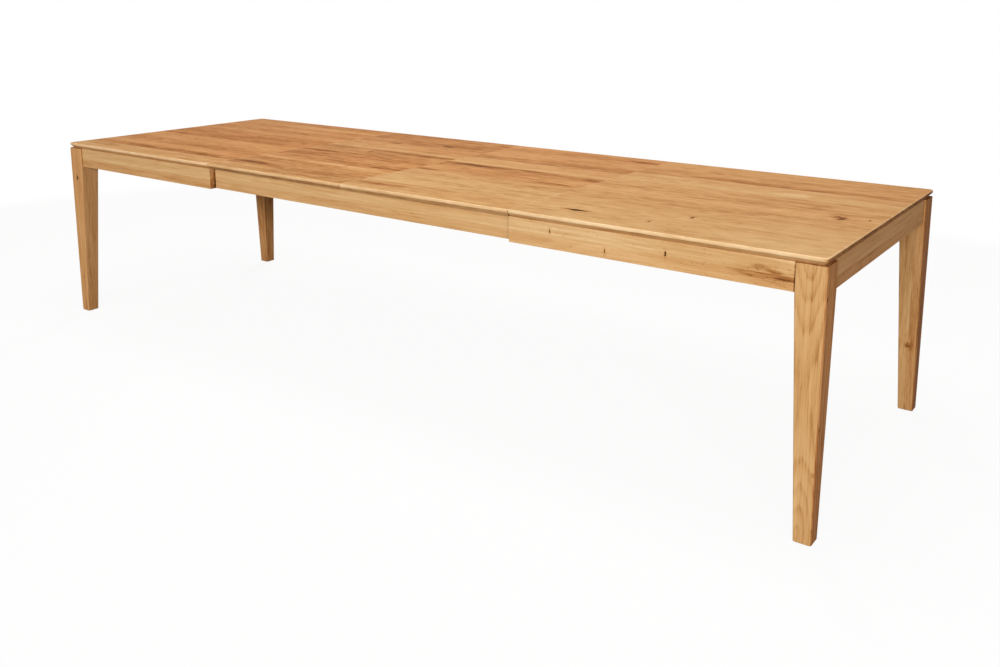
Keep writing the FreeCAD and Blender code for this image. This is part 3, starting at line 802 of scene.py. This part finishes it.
for side, way in (("left", -1), ("right", 1)):
    node = side + "_leaf"
    low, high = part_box(node)
    middle_x, end_x = (low.x, high.x) if way > 0 else (high.x, low.x)
    rings = []
    for inset, height in lip_levels(low.z, high.z):
        chamfer = max(0.0, height - (high.z - SEAM_CHAMFER))
        lip_z = high.z - LIP_HEIGHT
        undercut = LEAF_UNDERCUT * max(0.0, (lip_z - height) / (lip_z - low.z))
        inner_x = middle_x + way * chamfer
        outer_x = end_x - way * max(chamfer, undercut)
        ease = way * SEAM_EASE
        y = high.y - inset
        eased_y = y - SEAM_EASE
        front = [(inner_x, -eased_y), (inner_x + ease, -y), (outer_x - ease, -y), (outer_x, -eased_y)]
        back = [(px, -py) for px, py in reversed(front)]
        rings.append([Vector((px, py, height)) for px, py in front + back])
    board = stacked(rings, lip_light_and_shade(rings))
    shade_end_lip(board, high.z - TOP_ROUND)
    leaf_oak = oiled_oak(node + "_oak", node, "X", "Y", LEAF_STAVES[side], LEAF_MARKS[side])
    fit(solid_piece(node + "_board", board), node, leaf_oak)
    for cleat in ("leaf_inner_cleat", "leaf_outer_cleat"):
        cleat_node = side + "_" + cleat
        fit(eased_copy(cleat_node, UNDER_EASE), cleat_node, beech_across)

# Locating pins: turned brass pins driven into the underside of each leaf, with chamfered ends.
# They drop into holes in the two rails and keep the leaf in its place.
PIN_DIAMETER = 10.0 * MM
PIN_CHAMFER = 1.2 * MM
PIN_SHARP_ANGLE = 25
BRASS_SHADES = [(0.3, srgb(168, 126, 66)), (0.7, srgb(214, 178, 108))]
BRASS_ROUGHNESS = (0.22, 0.4)
TARNISH_WAVES = (220.0, 220.0, 220.0)
TURNING_WAVES = (30.0, 30.0, 3500.0)
TURNING_BUMP = 0.15
TURNING_DEPTH = 0.1 * MM


def turned_metal(name, shades, roughness):
    """Metal with fine turning marks round an upright line and a faint uneven tarnish."""
    material = empty_material(name)
    tree = material.node_tree
    place = put(tree, "ShaderNodeTexCoord").outputs["Object"]
    tarnish = noise(tree, place, TARNISH_WAVES, 3.0)
    marks = noise(tree, place, TURNING_WAVES, 2.0)
    colour = ramp(tree, tarnish, shades).outputs["Color"]
    rough = rescale(tree, marks, *NOISE_RANGE, *roughness)
    feeds = {"Height": marks, "Strength": TURNING_BUMP, "Distance": TURNING_DEPTH}
    bump = put(tree, "ShaderNodeBump", feeds).outputs[0]
    surface(tree, {"Base Color": colour, "Metallic": 1.0, "Roughness": rough, "Normal": bump})
    return material


brass = turned_metal("turned_brass", BRASS_SHADES, BRASS_ROUGHNESS)
for side in ("left", "right"):
    node = side + "_leaf_pins"
    low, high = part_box(node)
    length = high.z - low.z
    radius = PIN_DIAMETER / 2
    pins = bmesh.new()
    for x in (low.x + radius, high.x - radius):
        for y in (low.y + radius, high.y - radius):
            profile = [(radius - PIN_CHAMFER, 0.0), (radius, PIN_CHAMFER), (radius, length - PIN_CHAMFER),
                       (radius - PIN_CHAMFER, length)]
            turned(pins, Vector((x, y, low.z)), profile)
    fit(solid_piece(node + "_turned", pins, PIN_SHARP_ANGLE), node, brass)

# Screws: zinc-plated countersunk wood screws that hold runners, battens, buttons and cleats to the boards
# above. Each points up, its head has a cross recess, and its shank has ringed grooves to a tapered tip.
SCREW_HEAD = 8.0 * MM
SCREW_SHANK = 4.0 * MM
SCREW_HEAD_HEIGHT = 3.0 * MM
SCREW_BITE = 12.0 * MM
SCREW_MARGIN = 60.0 * MM
THREAD_DEPTH = 0.4 * MM
THREAD_STEP = 1.0 * MM
TIP_SLOPE = 0.45
TIP_RADIUS = 0.3 * MM
RECESS_REACH = 4.4 * MM
RECESS_WIDTH = 1.0 * MM
RECESS_DEPTH = 1.6 * MM
SCREW_SIDES = 16
RUNNER_SCREWS = 5
RUNNERS_TO_AN_END = 2
BUTTON_SCREWS = 4
BAR_SCREWS = 4
ZINC_SHADES = [(0.3, srgb(168, 170, 170)), (0.7, srgb(206, 206, 198))]
ZINC_ROUGHNESS = (0.28, 0.45)


def screw_grid_tree():
    """Geometry Nodes for rows of like screws: equal steps along a row, and from one row to the next."""
    tree = bpy.data.node_groups.new("screw_grid", "GeometryNodeTree")
    sockets = (
        ("Screws", "NodeSocketInt"), ("Rows", "NodeSocketInt"), ("First Place", "NodeSocketVector"),
        ("Screw Step", "NodeSocketVector"), ("Row Step", "NodeSocketVector"), ("Length", "NodeSocketFloat"),
        ("Head Diameter", "NodeSocketFloat"), ("Shank Diameter", "NodeSocketFloat"),
        ("Finish", "NodeSocketMaterial"),
    )
    for name, kind in sockets:
        tree.interface.new_socket(name, in_out="INPUT", socket_type=kind)
    tree.interface.new_socket("Screws", in_out="OUTPUT", socket_type="NodeSocketGeometry")
    sizes = put(tree, "NodeGroupInput").outputs

    # The screw as a turned form along an upright line, its head's face at the foot
    tip = put(tree, "ShaderNodeCombineXYZ", {2: sizes["Length"]}).outputs[0]
    line = put(tree, "GeometryNodeCurvePrimitiveLine", {"End": tip}).outputs[0]
    line = put(tree, "GeometryNodeResampleCurve", {"Curve": line, "Length": THREAD_STEP}, mode="LENGTH")
    along_line = put(tree, "GeometryNodeInputPosition").outputs[0]
    height = put(tree, "ShaderNodeSeparateXYZ", {0: along_line}).outputs[2]
    head_radius = number(tree, "MULTIPLY", sizes["Head Diameter"], 0.5)
    shank_radius = number(tree, "MULTIPLY", sizes["Shank Diameter"], 0.5)
    cone = rescale(tree, height, 0.0, SCREW_HEAD_HEIGHT, head_radius, shank_radius)
    every_other = number(tree, "MODULO", put(tree, "GeometryNodeInputIndex").outputs[0], 2.0)
    below_head = number(tree, "GREATER_THAN", height, SCREW_HEAD_HEIGHT)
    groove = number(tree, "MULTIPLY", number(tree, "MULTIPLY", every_other, THREAD_DEPTH), below_head)
    taper = number(tree, "MULTIPLY", number(tree, "SUBTRACT", sizes["Length"], height), TIP_SLOPE)
    taper = number(tree, "ADD", taper, TIP_RADIUS)
    radius = number(tree, "MINIMUM", number(tree, "SUBTRACT", cone, groove), taper)
    line = put(tree, "GeometryNodeSetCurveRadius", {"Curve": line.outputs[0], "Radius": radius}).outputs[0]
    feeds = {"Resolution": SCREW_SIDES, "Radius": 1.0}
    ring = put(tree, "GeometryNodeCurvePrimitiveCircle", feeds).outputs[0]
    own_radius = put(tree, "GeometryNodeInputRadius").outputs[0]
    feeds = {"Curve": line, "Profile Curve": ring, "Scale": own_radius, "Fill Caps": True}
    body = put(tree, "GeometryNodeCurveToMesh", feeds)

    # The cross recess in the head's face
    recess = put(tree, "GeometryNodeMeshBoolean", {"Mesh 1": body.outputs[0]}, operation="DIFFERENCE")
    for reach_x, reach_y in ((RECESS_REACH, RECESS_WIDTH), (RECESS_WIDTH, RECESS_REACH)):
        bar_size = (reach_x, reach_y, 2 * RECESS_DEPTH)
        bar = put(tree, "GeometryNodeMeshCube", {"Size": bar_size}).outputs[0]
        tree.links.new(bar, recess.inputs["Mesh 2"])

    # Rows of places, and a screw at each
    feeds = {"Count": sizes["Screws"], "Offset": sizes["Screw Step"]}
    row = put(tree, "GeometryNodeMeshLine", feeds).outputs[0]
    feeds = {"Count": sizes["Rows"], "Start Location": sizes["First Place"], "Offset": sizes["Row Step"]}
    starts = put(tree, "GeometryNodeMeshLine", feeds).outputs[0]
    places = put(tree, "GeometryNodeInstanceOnPoints", {"Points": starts, "Instance": row}).outputs[0]
    places = put(tree, "GeometryNodeRealizeInstances", {"Geometry": places}).outputs[0]
    feeds = {"Points": places, "Instance": recess.outputs[0]}
    screws = put(tree, "GeometryNodeInstanceOnPoints", feeds).outputs[0]
    screws = put(tree, "GeometryNodeRealizeInstances", {"Geometry": screws}).outputs[0]
    feeds = {"Geometry": screws, "Material": sizes["Finish"]}
    screws = put(tree, "GeometryNodeSetMaterial", feeds).outputs[0]
    put(tree, "NodeGroupOutput", {0: screws})
    return tree


def screw_grid(shape, first, screw_step, screws, length, row_step=(0, 0, 0), rows=1):
    """Adds rows of screws to a mesh under work."""
    blank = bpy.data.objects.new("screw_rows", bpy.data.meshes.new("screw_rows"))
    bpy.context.scene.collection.objects.link(blank)
    grid = blank.modifiers.new("screws", "NODES")
    grid.node_group = screw_grid_nodes
    settings = {
        "Screws": screws, "Rows": rows, "First Place": first, "Screw Step": screw_step, "Row Step": row_step,
        "Length": length, "Head Diameter": SCREW_HEAD, "Shank Diameter": SCREW_SHANK, "Finish": zinc,
    }
    for socket in screw_grid_nodes.interface.items_tree:
        if socket.in_out == "INPUT":
            grid[socket.identifier] = settings[socket.name]
    mesh = bpy.data.meshes.new_from_object(blank.evaluated_get(bpy.context.evaluated_depsgraph_get()))
    shape.from_mesh(mesh)
    blank.modifiers.clear()
    bpy.data.objects.remove(blank)


zinc = turned_metal("zinc_plate", ZINC_SHADES, ZINC_ROUGHNESS)
screw_grid_nodes = screw_grid_tree()
under_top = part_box("right_top")[0].z
for side in ("left", "right"):
    node = side + "_runner_screws"
    low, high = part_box(node)
    inset = Vector((SCREW_HEAD / 2, SCREW_HEAD / 2, 0))
    first, last = low + inset, high - inset
    rows_apart = (0, last.y - first.y, 0)
    runner_screws = bmesh.new()
    step = ((last.x - first.x) / (RUNNER_SCREWS - 1), 0, 0)
    screw_grid(runner_screws, first, step, RUNNER_SCREWS, high.z - low.z, rows_apart, RUNNERS_TO_AN_END)
    fit(solid_piece(node + "_threaded", runner_screws), node, zinc)

    node = side + "_button_screws"
    low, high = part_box(node)
    first, last = low + inset, high - inset
    button_screws = bmesh.new()
    step = (0, (last.y - first.y) / (BUTTON_SCREWS - 1), 0)
    screw_grid(button_screws, first, step, BUTTON_SCREWS, high.z - low.z)
    fit(solid_piece(node + "_threaded", button_screws), node, zinc)

    for group, bars in (("batten_screws", ("stop_batten", "top_batten")),
                        ("leaf_screws", ("leaf_inner_cleat", "leaf_outer_cleat"))):
        node = side + "_" + group
        bar_screws = bmesh.new()
        for bar in bars:
            low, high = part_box(side + "_" + bar)
            first = Vector(((low.x + high.x) / 2, low.y + SCREW_MARGIN, low.z))
            step = (0, (high.y - low.y - 2 * SCREW_MARGIN) / (BAR_SCREWS - 1), 0)
            screw_grid(bar_screws, first, step, BAR_SCREWS, under_top - low.z + SCREW_BITE)
        fit(solid_piece(node + "_threaded", bar_screws), node, zinc)

# Floor glides: thick felt discs stuck under the feet, their lower edge a little rounded with wear.
GLIDE_ROUND = 1.0 * MM
GLIDE_RADIUS = 17.0 * MM
GLIDE_WORN_SHARE = 0.3
GLIDE_SIDES = 48
FELT_SHADES = [(0.25, srgb(58, 50, 44)), (0.75, srgb(112, 100, 88))]
FIBRE_WAVES = (900.0, 900.0, 900.0)
CLUMP_WAVES = (150.0, 150.0, 150.0)
FIBRE_SHARE = 0.6
CLUMP_SHARE = 0.4
FELT_BUMP = 0.6
FELT_BUMP_DEPTH = 0.5 * MM
FELT_ROUGHNESS = (0.88, 1.0)
FELT_SHEEN = 0.3
felt = empty_material("wool_felt")
tree = felt.node_tree
place = put(tree, "ShaderNodeTexCoord").outputs["Object"]
fibres = noise(tree, place, FIBRE_WAVES, 4.0, 0.7)
clumps = noise(tree, place, CLUMP_WAVES, 2.0)
felt_shade = number(tree, "MULTIPLY", fibres, FIBRE_SHARE)
felt_shade = number(tree, "MULTIPLY_ADD", clumps, CLUMP_SHARE, felt_shade)
felt_colour = ramp(tree, felt_shade, FELT_SHADES).outputs["Color"]
feeds = {"Height": fibres, "Strength": FELT_BUMP, "Distance": FELT_BUMP_DEPTH}
felt_bump = put(tree, "ShaderNodeBump", feeds).outputs[0]
felt_rough = rescale(tree, fibres, *NOISE_RANGE, *FELT_ROUGHNESS)
feeds = {"Base Color": felt_colour, "Roughness": felt_rough, "Sheen Weight": FELT_SHEEN, "Normal": felt_bump}
surface(tree, feeds)
for side in ("left", "right"):
    node = side + "_floor_glides"
    low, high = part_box(node)
    glides = bmesh.new()
    worn = GLIDE_WORN_SHARE * GLIDE_ROUND
    profile = [(GLIDE_RADIUS - GLIDE_ROUND, 0.0), (GLIDE_RADIUS - worn, worn), (GLIDE_RADIUS, GLIDE_ROUND),
               (GLIDE_RADIUS, high.z - low.z)]
    for y in (low.y + GLIDE_RADIUS, high.y - GLIDE_RADIUS):
        turned(glides, Vector(((low.x + high.x) / 2, y, low.z)), profile, GLIDE_SIDES)
    fit(solid_piece(node + "_pressed", glides), node, felt)

# Floor and light: a plain pale floor, a large soft key light far off at the front right, a broad one above
# and a weaker one at the back left. The floor fades to plain white away from the table, and keeps its shadow.
AMBIENT = 0.1
AMBIENT_COLOUR = srgb(255, 232, 214)
WHITE = (1.0, 1.0, 1.0, 1.0)
FLOOR_RADIUS = 40.0
FLOOR_SIDES = 96
FADE_STRETCH = (0.8, 1.0, 1.0)
FADE_REACH = (1.6, 3.6)
WHITE_UNDER_TABLE = 0.92
FLOOR_GREY = (0.3, 0.95)


def seen_directly(tree):
    """One for camera, transmission and glossy rays, and nought for rays that only carry light."""
    rays = put(tree, "ShaderNodeLightPath").outputs
    seen = number(tree, "MAXIMUM", rays["Is Camera Ray"], rays["Is Transmission Ray"])
    return number(tree, "MAXIMUM", seen, rays["Is Glossy Ray"])


floor_material = empty_material("pale_floor")
tree = floor_material.node_tree
place = put(tree, "ShaderNodeTexCoord").outputs["Object"]
away = reach(tree, vector(tree, "MULTIPLY", place, FADE_STRETCH))
far = rescale(tree, away, *FADE_REACH, smooth=True)
seen = seen_directly(tree)
white = number(tree, "MULTIPLY", number(tree, "MAXIMUM", far, WHITE_UNDER_TABLE), seen)
grey = rescale(tree, seen, 0.0, 1.0, *FLOOR_GREY)
pale = put(tree, "ShaderNodeBsdfDiffuse", {"Color": grey}).outputs[0]
glow = put(tree, "ShaderNodeEmission", {"Color": WHITE, "Strength": 1.0}).outputs[0]
floor_mix = put(tree, "ShaderNodeMixShader", {0: white, 1: pale, 2: glow}).outputs[0]
put(tree, "ShaderNodeOutputMaterial", {"Surface": floor_mix})
floor_shape = bmesh.new()
bmesh.ops.create_circle(floor_shape, cap_ends=True, segments=FLOOR_SIDES, radius=FLOOR_RADIUS)
floor_mesh = bpy.data.meshes.new("floor")
floor_shape.to_mesh(floor_mesh)
floor_shape.free()
floor_mesh.materials.append(floor_material)
floor = bpy.data.objects.new("floor", floor_mesh)
bpy.context.scene.collection.objects.link(floor)

world = bpy.data.worlds.new("studio")
world.use_nodes = True
world.node_tree.nodes.clear()
tree = world.node_tree
seen = seen_directly(tree)
room = put(tree, "ShaderNodeBackground", {"Color": (*AMBIENT_COLOUR, 1.0), "Strength": AMBIENT}).outputs[0]
backdrop = put(tree, "ShaderNodeBackground", {"Color": WHITE, "Strength": 1.0}).outputs[0]
sky = put(tree, "ShaderNodeMixShader", {0: seen, 1: room, 2: backdrop}).outputs[0]
put(tree, "ShaderNodeOutputWorld", {"Surface": sky})
bpy.context.scene.world = world


def soft_lamp(name, size, power, place, target, mirrored=True):
    """A large lamp, aimed at a place. One that isn't mirrored lights the wood but makes no glare on it."""
    lamp = bpy.data.lights.new(name, "AREA")
    lamp.shape = "RECTANGLE"
    lamp.size, lamp.size_y = size
    lamp.energy = power
    lamp_object = bpy.data.objects.new(name, lamp)
    lamp_object.location = place
    lamp_object.visible_glossy = mirrored
    lamp_object.rotation_euler = (Vector(target) - Vector(place)).to_track_quat("-Z", "Y").to_euler()
    bpy.context.scene.collection.objects.link(lamp_object)


soft_lamp("overhead", size=(3.2, 2.5), power=103.0, place=(0.45, -0.2, 4.6), target=(0.45, 0.0, 0.7))
soft_lamp("key", size=(11.0, 1.6), power=1045.0, place=(4.1, -9.0, 3.7), target=(0.2, 0.0, 0.5))
soft_lamp("fill", size=(3.0, 2.0), power=520.0, place=(-5.2, 8.4, 3.0), target=(0.0, 0.0, 0.5),
          mirrored=False)

# Camera: the photograph's viewing angle, from the front right and above the top, with the focal length and
# lens shift in pixels of the photograph's width.
PHOTO_WIDTH = 1000.0
CAMERA_FOCAL = 973.98
CAMERA_SHIFT = 155.0
CAMERA_PLACE = (2.34286, -2.83292, 1.37152)
CAMERA_PITCH = 10.4
CAMERA_TURN = 36.03
SENSOR_WIDTH = 36.0
camera = bpy.data.cameras.new("camera")
camera.sensor_width = SENSOR_WIDTH
camera.lens = SENSOR_WIDTH * CAMERA_FOCAL / PHOTO_WIDTH
camera.shift_y = -CAMERA_SHIFT / PHOTO_WIDTH
camera_object = bpy.data.objects.new("camera", camera)
camera_object.location = CAMERA_PLACE
camera_object.rotation_euler = (math.radians(90 - CAMERA_PITCH), 0.0, math.radians(CAMERA_TURN))
bpy.context.scene.collection.objects.link(camera_object)
bpy.context.scene.camera = camera_object
bpy.context.scene.view_settings.view_transform = "Standard"
